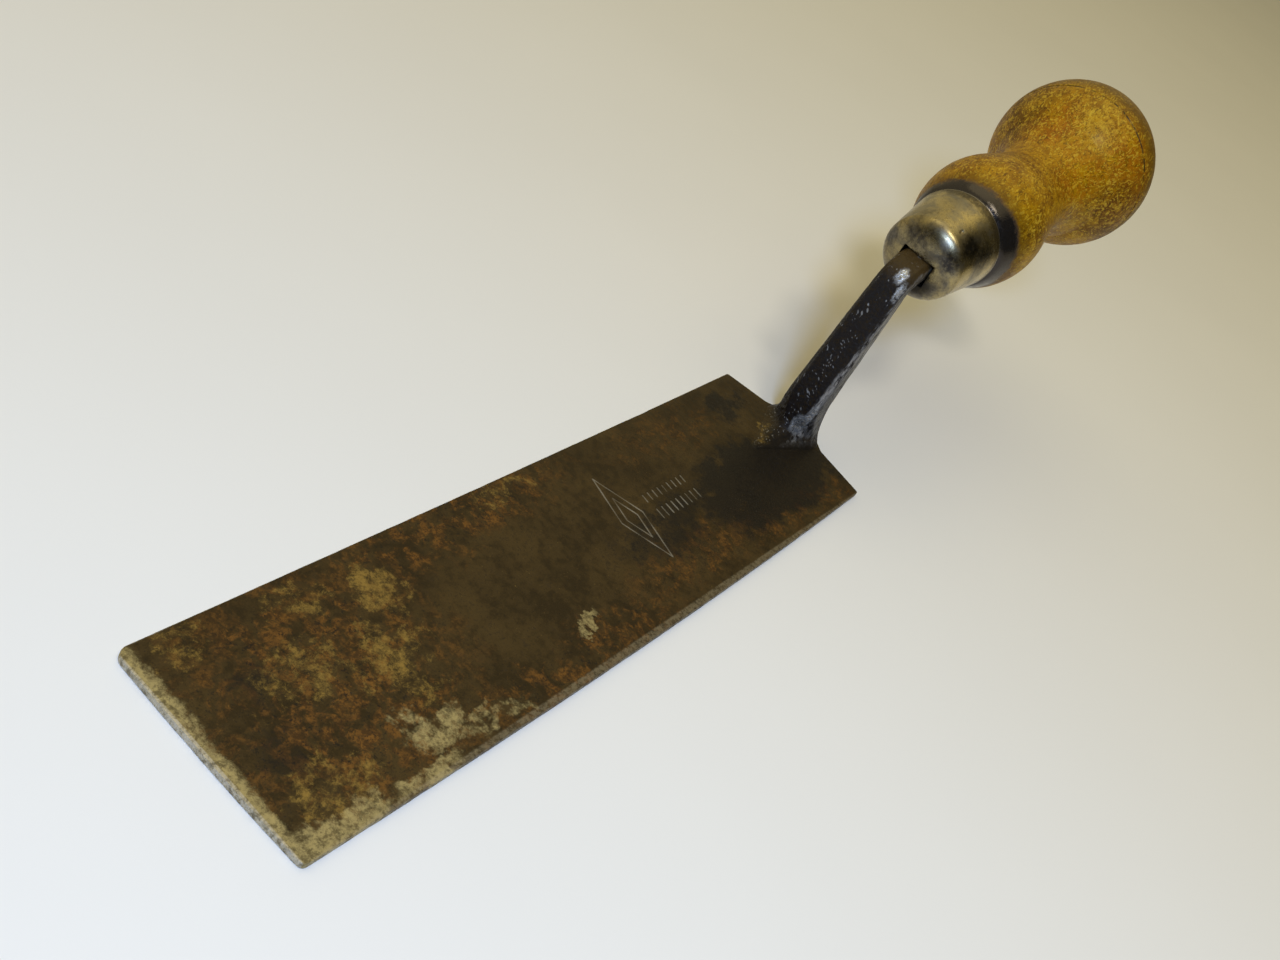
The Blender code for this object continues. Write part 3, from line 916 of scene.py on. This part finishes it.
def steel_patina():
    net = Net("forged_steel_patina")
    ragged = net.drift(7.0, 15.0)
    fine = net.noise(0.9, 6.0, 0.70)
    blotch = net.noise(3.2, 7.0, 0.68, warp=0.6)
    broad = net.noise(14.0, 4.0, 0.60)
    grain = net.noise(0.35, 3.0, 0.60)
    medium = net.noise(1.8, 6.0, 0.72)

    # Brown ground: a smooth dark patina with fine speckle.
    ground = net.mix(net.ramp(net.maths("ADD", net.part(broad, 0.5),
                     net.part(medium, 0.5)), 0.40, 0.60),
                     BROWN_DARK, BROWN_WARM)
    ground = net.mix(net.ramp(fine, 0.54, 0.70, 0.0, 0.55), ground, BROWN_WARM)
    ground = net.mix(net.ramp(grain, 0.54, 0.72, 0.0, 0.55), ground, SCALE_BLACK)
    light = net.times(net.ramp(net.noise(0.5, 3.0, 0.7), 0.66, 0.74),
                      net.ramp(medium, 0.45, 0.6))
    ground = net.mix(net.part(light, 0.5), ground, BARE_GOLD_AND_GLINT)

    # Rust in blotches on the tip half and along both long edges.
    rust_zone = net.most([net.blot(ragged, *p) for p in RUST_PATCHES])
    rust = net.mix(net.ramp(fine, 0.42, 0.60), RUST_DEEP, RUST_BRIGHT)
    rust_mask = net.times(net.ramp(blotch, 0.44, 0.58), rust_zone)
    colour = net.mix(net.part(rust_mask, 0.88), ground, rust)
    pock = net.times(net.ramp(net.noise(2.6, 7.0, 0.74), 0.50, 0.60), rust_zone)
    colour = net.mix(net.part(pock, 0.72), colour, BROWN_DARK)
    speck = net.times(net.ramp(net.noise(0.8, 4.0, 0.7), 0.56, 0.64), rust_zone)
    colour = net.mix(net.part(speck, 0.75), colour, SCALE_BLACK)

    # Bare metal showing through, golden and grey-khaki, and a painted golden highlight along
    # the neck's spine.
    lace = net.noise(3.0, 10.0, 0.82, warp=0.25)
    gold_and_glint_zone = net.most([net.blot(ragged, *p) for p in GOLD_AND_SPINE_GLINT_PATCHES])
    gold_and_glint_mask = net.ramp(net.maths("ADD", lace, net.part(gold_and_glint_zone, 0.22)), 0.58, 0.76)
    gold_and_glint_mask = net.times(gold_and_glint_mask, net.ramp(gold_and_glint_zone, 0.0, 0.35))
    tip_edge = net.ramp(net.maths("ADD", net.x, net.part(blotch, 3.0)), -87.4, -84.6, 1.0, 0.0)
    khaki_zone = net.most([net.blot(ragged, *p) for p in KHAKI_PATCHES]
                          + [tip_edge])
    khaki_mask = net.ramp(net.maths("ADD", lace, net.part(khaki_zone, 0.30)), 0.50, 0.82)
    khaki_mask = net.times(khaki_mask, net.ramp(khaki_zone, 0.0, 0.35))
    broken = net.ramp(net.noise(1.1, 6.0, 0.78), 0.38, 0.56, 0.30, 1.0)
    gold_and_glint_mask = net.times(gold_and_glint_mask, broken)
    khaki_mask = net.times(khaki_mask, broken)
    colour = net.mix(net.part(gold_and_glint_mask, 0.85), colour, BARE_GOLD_AND_GLINT)
    colour = net.mix(net.part(khaki_mask, 0.85), colour, BARE_KHAKI)

    # Black scale near the heel.
    black_zone = net.most([net.blot(ragged, *p) for p in BLACK_PATCHES])
    black = net.ramp(net.maths("ADD", black_zone, net.part(medium, 1.3)), 0.62, 1.15)
    colour = net.mix(net.part(black, 0.88), colour, SCALE_BLACK)

    # The tang is blacker, abraded grey on its right side, with worn arrises and painted
    # highlights on the facets at its foot and its bend.
    height = net.maths("ADD", net.z, net.part(fine, 2.4))
    tang = net.ramp(height, 2.6, 5.6)
    tang_colour = net.mix(net.ramp(fine, 0.48, 0.66), TANG_BLACK, BROWN_DARK)
    tang_colour = net.mix(net.ramp(net.z, 45.0, 50.0, 0.0, 0.8), tang_colour,
                          BROWN_WARM)
    colour = net.mix(tang, colour, tang_colour)
    streaks = net.scaled(net.where, (1.6, 1.6, 0.35))
    side_y = net.maths("ADD", net.y, net.part(medium, 1.2))
    arris = net.maths("ABSOLUTE", net.maths("ADD", side_y, 1.5))
    arris = net.ramp(arris, 0.3, 1.1, 1.0, 0.30)
    abraded = net.times(tang, net.ramp(side_y, -1.6, -0.7, 1.0, 0.0), arris,
                        net.ramp(net.noise(1.4, 6.0, 0.72, streaks), 0.40, 0.60))
    # Painted highlights: bright steel patches where the facets at the foot and the bend catch
    # the light, broken up by noise.
    near = net.drift(1.4, 2.0)
    facet_glints = net.most([net.blot(near, *p) for p in TANG_FACET_GLINTS])
    facet_glints = net.times(facet_glints, net.ramp(net.noise(1.3, 5.0, 0.75), 0.38, 0.48))
    colour = net.mix(net.part(abraded, 0.80), colour, ABRADED_GREY)

    wear = net.attribute("wear")
    flank = net.maths("ABSOLUTE", net.maths("SUBTRACT", net.y, 1.0))
    flank = net.ramp(flank, 2.6, 3.4)
    patchy = net.ramp(net.noise(1.1, 6.0, 0.78), 0.38, 0.60, 0.15, 1.0)
    side = net.maths("SUBTRACT", 20.3, net.maths("ABSOLUTE", net.y))
    side = net.maths("ADD", side, net.maths("MULTIPLY", net.x, 0.0063))
    strip = net.ramp(side, 0.0, 0.45, 0.50, 0.0)
    strip = net.times(strip, net.ramp(net.z, 1.8, 2.6, 1.0, 0.0))
    stamp = net.ramp(net.attribute("stamp"), 0.25, 0.80, 0.0, 0.50)
    # Worn arrises, worn side strips, the stamp and the painted facet highlights are all laid
    # on as bare steel.
    rubbed_and_glint = net.most([net.times(net.ramp(wear, 0.60, 1.0, 0.0, 0.20), patchy,
                                 flank),
                       net.times(strip, patchy), stamp,
                       facet_glints])
    tip_face = net.ramp(net.x, -89.20, -88.95, 0.8, 0.0)
    rubbed_and_glint = net.most([rubbed_and_glint, net.times(tip_face, patchy)])
    cool = net.most([tang, tip_face, stamp])
    steel = net.mix(cool, RUBBED_WARM, WORN_STEEL_AND_GLINT)
    colour = net.mix(net.part(rubbed_and_glint, 0.75), colour, steel)

    bare = net.most([net.part(gold_and_glint_mask, 0.40),
                     net.part(khaki_mask, 0.42),
                     net.part(abraded, 0.50), rubbed_and_glint])
    metallic = net.maths("MULTIPLY", bare, 0.85, clamp=True)
    rough = net.ramp(fine, 0.35, 0.70, 0.44, 0.64)
    rough = net.maths("SUBTRACT", rough, net.part(tang, 0.14))
    rough = net.maths("ADD", rough, net.part(rust_mask, 0.16))
    rough = net.maths("SUBTRACT", rough, net.part(rubbed_and_glint, 0.10))

    relief = net.maths("ADD", net.part(blotch, 0.6),
                       net.part(fine, 0.6))
    normal = net.bump(relief, 0.10, 0.55)
    normal = net.bump(grain, 0.03, 0.6, normal)
    pits = net.times(tang, net.ramp(net.noise(0.8, 4.0, 0.6), 0.40, 0.62))
    normal = net.bump(pits, 0.08, 1.0, normal)
    net.shader.inputs["Specular IOR Level"].default_value = 0.14
    return net.finish(colour, rough, metallic, normal)


# Ferrule metal, linear colours.
STEEL_WARM = (0.520, 0.420, 0.205)
STEEL_COOL = (0.230, 0.212, 0.185)
STAIN_BROWN = (0.110, 0.075, 0.038)
DARK_TARNISH_AND_REFLECTION = (0.035, 0.031, 0.030)
STEEL_BRIGHT = (0.700, 0.690, 0.660)

# Dark tarnish and painted dark reflection on the ferrule in its own axes: centre, half size,
# strength.
FERRULE_TARNISH_AND_DARK_REFLECTION = (
    ((7.6, -7.0, -11.5), (3.4, 3.2, 4.2), 1.00),
    ((4.6, -9.6, -7.0), (3.6, 3.0, 4.6), 0.90),
    ((4.6, -5.8, -17.0), (2.8, 2.6, 2.4), 1.00),
    ((5.0, 3.0, -18.0), (2.8, 3.4, 1.8), 0.85),
    ((-2.0, 9.5, -12.0), (8.0, 4.0, 9.0), 0.60),
    ((9.8, 2.0, -1.2), (4.0, 8.0, 2.0), 0.75),
    ((8.2, 6.0, -14.0), (2.4, 2.0, 2.6), 0.55),
)


def tarnished_steel():
    net = Net("tarnished_ferrule_steel", handle_matrix())
    # Turning lines run round the axis, so the noise is squeezed along it.
    rings = net.noise(1.0, 3.0, 0.6, net.scaled(net.where, (0.06, 0.06, 5.0)))
    cloud = net.noise(5.5, 5.0, 0.62, warp=0.4)
    fine = net.noise(0.8, 6.0, 0.70)
    speck = net.noise(0.35, 4.0, 0.65)
    colour = net.mix(net.ramp(cloud, 0.30, 0.72), STEEL_WARM, STEEL_COOL)
    colour = net.mix(net.ramp(fine, 0.50, 0.72, 0.0, 0.55), colour, STAIN_BROWN)
    rim = net.ramp(net.maths("ADD", net.z, net.part(fine, 3.0)),
                   -1.6, 1.2)
    colour = net.mix(net.part(rim, 0.55), colour, STAIN_BROWN)
    nose = net.ramp(net.maths("SUBTRACT", net.z, net.part(fine, 3.0)), -19.5, -16.5, 1.0, 0.0)
    colour = net.mix(net.times(nose, net.ramp(cloud, 0.30, 0.70, 0.40, 0.74)),
                     colour, DARK_TARNISH_AND_REFLECTION)
    ragged = net.drift(3.0, 5.0)
    # Partly tarnish, partly painted reflection: the dark band on the -Y side is a painted
    # reflection of the dark room in the steel.
    tarnish_and_reflection = net.most([net.blot(ragged, *p) for p in FERRULE_TARNISH_AND_DARK_REFLECTION])
    tarnish_and_reflection = net.times(tarnish_and_reflection, net.ramp(fine, 0.30, 0.52, 0.35, 1.0))
    colour = net.mix(net.part(tarnish_and_reflection, 0.93), colour, DARK_TARNISH_AND_REFLECTION)
    freckle = net.ramp(speck, 0.60, 0.70, 0.0, 0.70)
    colour = net.mix(freckle, colour, DARK_TARNISH_AND_REFLECTION)
    rubbed_and_glint = net.ramp(net.attribute("wear"), 0.25, 0.80, 0.0, 0.85)
    # Painted highlight: a thin bright line round the rear rim, where the steel edge catches
    # the light.
    rim_glint_line = net.maths("ABSOLUTE", net.maths("ADD", net.z, 0.22))
    rubbed_and_glint = net.most([rubbed_and_glint, net.ramp(rim_glint_line, 0.10, 0.34, 0.7, 0.0)])
    colour = net.mix(rubbed_and_glint, colour, STEEL_BRIGHT)
    rough = net.ramp(cloud, 0.35, 0.68, 0.20, 0.36)
    rough = net.maths("ADD", rough, net.part(rings, 0.06))
    rough = net.maths("ADD", rough, net.part(freckle, 0.25))
    metallic = net.maths("SUBTRACT", 1.0, net.part(freckle, 0.5))
    normal = net.bump(rings, 0.012, 0.5)
    normal = net.bump(fine, 0.035, 0.6, normal)
    normal = net.bump(speck, 0.02, 0.7, normal)
    return net.finish(colour, rough, metallic, normal)


# Handle wood, linear colours.
WOOD_YELLOW = (0.440, 0.225, 0.002)
WOOD_OCHRE = (0.225, 0.092, 0.001)
WOOD_BROWN = (0.055, 0.020, 0.001)
WOOD_ORANGE = (0.400, 0.125, 0.001)
WOOD_PALE = (0.640, 0.410, 0.030)
WOOD_OLIVE = (0.125, 0.062, 0.001)
CHARRED = (0.060, 0.055, 0.056)
GRIME = (0.012, 0.009, 0.006)

# Stains on the wood, and a darker underside, in the handle's own axes: centre, half size,
# strength.
ORANGE_STAINS = (
    ((14.0, -12.0, 62.0), (14.0, 13.0, 14.0), 0.80),
    ((12.0, 5.0, 52.0), (9.0, 9.0, 9.0), 0.75),
    ((10.0, -9.0, 45.0), (10.0, 9.0, 14.0), 0.65),
    ((5.0, -16.0, 60.0), (9.0, 8.0, 11.0), 0.90),
)
BROWN_STAINS_AND_DARK_UNDERSIDE = (
    ((3.0, -17.5, 56.5), (9.0, 7.0, 10.0), 1.00),
    ((8.0, 15.0, 57.0), (10.0, 9.0, 14.0), 0.85),
    ((10.0, 6.0, 22.0), (9.0, 8.0, 12.0), 0.55),
    # This long patch below the axis makes the handle's whole underside darker brown.
    ((-14.0, 0.0, 40.0), (10.0, 16.0, 40.0), 0.60),
    ((-3.0, -19.5, 63.0), (8.0, 7.0, 13.0), 0.85),
    ((6.0, 14.5, 14.0), (7.0, 5.0, 12.0), 0.70),
    ((8.0, -12.0, 9.0), (6.0, 5.0, 7.0), 0.60),
)


# Lighter patch on top of the ball, same layout: partly worn by the hand, partly a painted
# highlight.
PALE_WEAR_AND_HIGHLIGHT = ((18.0, -3.0, 57.0), (7.5, 7.5, 9.0), 0.75)


def varnished_wood():
    net = Net("varnished_beech", handle_matrix())
    ragged = net.drift(4.0, 6.0)
    # Fibres run along local Z; growth rings are bent cylinders about an offset.
    fibres = net.noise(0.60, 5.0, 0.65, net.scaled(ragged, (1.0, 1.0, 0.16)))
    flecks = net.noise(1.25, 4.0, 0.62, net.scaled(net.where, (1.0, 1.0, 0.55)),
                       warp=2.2)
    dashes = net.noise(0.80, 4.0, 0.62, net.scaled(net.where, (1.0, 1.0, 0.26)),
                       warp=1.6)
    cloud = net.noise(8.0, 5.0, 0.62, warp=0.5)
    mottle = net.noise(2.4, 6.0, 0.70, warp=1.0)
    rings = net.tree.nodes.new("ShaderNodeTexWave")
    rings.wave_type = "RINGS"
    rings.rings_direction = "Z"
    offset = net.vector("ADD", ragged, (31.0, 12.0, 0.0))
    net.put(rings.inputs["Vector"], net.scaled(offset, (1.0, 1.0, 0.05)))
    rings.inputs["Scale"].default_value = 0.13
    rings.inputs["Distortion"].default_value = 2.2
    rings.inputs["Detail"].default_value = 3.0
    band = rings.outputs["Fac"]

    colour = net.mix(net.ramp(cloud, 0.34, 0.62), WOOD_OCHRE, WOOD_YELLOW)
    colour = net.mix(net.part(band, 0.22), colour, WOOD_OCHRE)
    orange = net.most([net.blot(ragged, *p) for p in ORANGE_STAINS])
    orange = net.times(orange, net.ramp(mottle, 0.38, 0.56))
    colour = net.mix(net.part(orange, 0.80), colour, WOOD_ORANGE)
    brown = net.most([net.blot(ragged, *p) for p in BROWN_STAINS_AND_DARK_UNDERSIDE])
    brown = net.times(brown, net.ramp(mottle, 0.34, 0.58))
    colour = net.mix(net.part(brown, 0.75), colour, WOOD_BROWN)
    # Partly wear, partly painted highlight: the soft pale spot on top of the ball.
    pale = net.times(net.blot(ragged, *PALE_WEAR_AND_HIGHLIGHT), net.ramp(mottle, 0.42, 0.60))
    colour = net.mix(net.part(pale, 0.65), colour, WOOD_PALE)
    butt = net.ramp(net.z, 61.0, 69.0)
    colour = net.mix(net.part(butt, 0.85), colour, WOOD_OLIVE)
    colour = net.mix(net.ramp(fibres, 0.50, 0.66, 0.0, 0.45), colour, WOOD_BROWN)
    quiet = net.ramp(net.z, 60.0, 74.0, 1.0, 0.35)
    light = net.times(net.ramp(flecks, 0.52, 0.60, 0.0, 0.60), quiet)
    colour = net.mix(light, colour, WOOD_PALE)
    dark_dashes = net.times(net.ramp(dashes, 0.47, 0.36, 0.0, 0.62), quiet)
    colour = net.mix(dark_dashes, colour, WOOD_BROWN)

    # Scorched front shoulder with a ragged rear edge, and grime in the line.
    edge = net.maths("SUBTRACT", net.z, net.maths("MULTIPLY", net.noise(
        2.2, 6.0, 0.70), 3.4))
    edge = net.maths("ADD", edge, net.maths("MULTIPLY", net.y, 0.11))
    char = net.ramp(edge, 1.0, 2.9, 0.97, 0.0)
    smoke = net.ramp(edge, 1.2, 7.5, 0.70, 0.0)
    colour = net.mix(smoke, colour, WOOD_BROWN)
    colour = net.mix(char, colour, CHARRED)
    line = net.maths("ABSOLUTE", net.maths("SUBTRACT", net.z, SCRIBE_S / MM))
    line = net.times(net.ramp(line, 0.12, 0.42, 1.0, 0.0),
                     net.ramp(net.noise(2.6, 3.0, 0.6), 0.40, 0.56))
    colour = net.mix(net.part(line, 0.92), colour, GRIME)

    rough = net.ramp(mottle, 0.35, 0.70, 0.38, 0.56)
    rough = net.maths("SUBTRACT", rough, net.part(char, 0.27))
    gloss = net.part(char, 0.92)
    normal = net.bump(fibres, 0.05, 0.5)
    normal = net.bump(flecks, 0.035, 0.6, normal)
    normal = net.bump(mottle, 0.08, 0.35, normal)
    net.shader.inputs["Specular IOR Level"].default_value = 0.15
    net.shader.inputs["Coat Weight"].default_value = 0.06
    net.shader.inputs["Coat Roughness"].default_value = 0.24
    return net.finish(colour, rough, gloss, normal)


def pale_floor():
    net = Net("pale_floor")
    colour = net.mix(net.noise(90.0, 4.0, 0.5), (0.80, 0.79, 0.785),
                     (0.84, 0.83, 0.825))
    normal = net.bump(net.noise(1.2, 4.0, 0.6), 0.05, 0.25)
    return net.finish(colour, 0.85, 0.0, normal)


# ------------------------------------------------------------------- scene

def camera_axes():
    azimuth, elevation, roll = CAMERA_AZIMUTH, CAMERA_ELEVATION, CAMERA_ROLL
    back = Vector((math.sin(azimuth) * math.cos(elevation),
                   -math.cos(azimuth) * math.cos(elevation),
                   math.sin(elevation)))
    level = Vector((math.cos(azimuth), math.sin(azimuth), 0.0))
    upright = back.cross(level)
    right = level * math.cos(roll) + upright * math.sin(roll)
    up = upright * math.cos(roll) - level * math.sin(roll)
    return right, up, back


def make_camera():
    right, up, back = camera_axes()
    data = bpy.data.cameras.new("camera")
    data.sensor_width = CAMERA_SENSOR
    data.lens = CAMERA_LENS
    data.clip_start = 0.01
    camera = bpy.data.objects.new("camera", data)
    turn = Matrix((right, up, back)).transposed().to_4x4()
    camera.matrix_world = Matrix.Translation(CAMERA_SPOT) @ turn
    bpy.context.scene.collection.objects.link(camera)
    bpy.context.scene.camera = camera


def area_light(name, spot, size, power, colour):
    data = bpy.data.lights.new(name, "AREA")
    data.shape = "DISK"
    data.size = size
    data.energy = power
    data.color = colour
    light = bpy.data.objects.new(name, data)
    light.location = spot
    aim = LIGHT_TARGET - Vector(spot)
    light.rotation_mode = "QUATERNION"
    light.rotation_quaternion = aim.to_track_quat("-Z", "Y")
    bpy.context.scene.collection.objects.link(light)


def make_lights():
    right, up, back = camera_axes()
    key_spot = CAMERA_SPOT + back * KEY_BACK + right * KEY_RIGHT + up * KEY_UP
    area_light("key", key_spot, *KEY_LIGHT)
    area_light("lamp", LIGHT_TARGET + LAMP_WAY, *LAMP_LIGHT)
    area_light("overhead", OVERHEAD_SPOT, *OVERHEAD_LIGHT)
    world = bpy.data.worlds.new("soft_surround")
    bpy.context.scene.world = world
    world.use_nodes = True
    # Brighter on the far left side, dim on the right, like a room by a wall.
    tree = world.node_tree
    surround = tree.nodes["Background"]
    surround.inputs["Color"].default_value = SURROUND_COLOUR
    coords = tree.nodes.new("ShaderNodeTexCoord")
    facing = tree.nodes.new("ShaderNodeVectorMath")
    facing.operation = "DOT_PRODUCT"
    facing.inputs[1].default_value = WALL_SIDE
    level = tree.nodes.new("ShaderNodeMapRange")
    level.interpolation_type = "SMOOTHSTEP"
    level.inputs["From Min"].default_value = 0.10
    level.inputs["From Max"].default_value = 0.62
    level.inputs["To Min"].default_value = SURROUND_DIM
    level.inputs["To Max"].default_value = SURROUND_BRIGHT
    tree.links.new(coords.outputs["Generated"], facing.inputs[0])
    tree.links.new(facing.outputs["Value"], level.inputs["Value"])
    tree.links.new(level.outputs["Result"], surround.inputs["Strength"])


def make_floor():
    bm = bmesh.new()
    bmesh.ops.create_grid(bm, x_segments=24, y_segments=24, size=FLOOR_HALF)
    floor = mesh_object("floor", bm)
    floor.location.z = -FLOOR_DROP
    floor.data.materials.append(pale_floor())


def dress(piece, material, node):
    # The placing goes into the vertices, so that the piece's box is exact.
    if piece.matrix_world.determinant() < 0.0:
        piece.data.flip_normals()
    piece.data.transform(piece.matrix_world)
    piece.matrix_world = Matrix.Identity(4)
    piece.data.materials.clear()
    piece.data.materials.append(material)
    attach(piece, "root")
    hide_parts(node)


bpy.context.scene.view_settings.view_transform = "Standard"
make_camera()
make_lights()
make_floor()
dress(make_blade(), steel_patina(), "blade")
dress(make_ferrule(), tarnished_steel(), "ferrule")
dress(make_handle(), varnished_wood(), "handle")
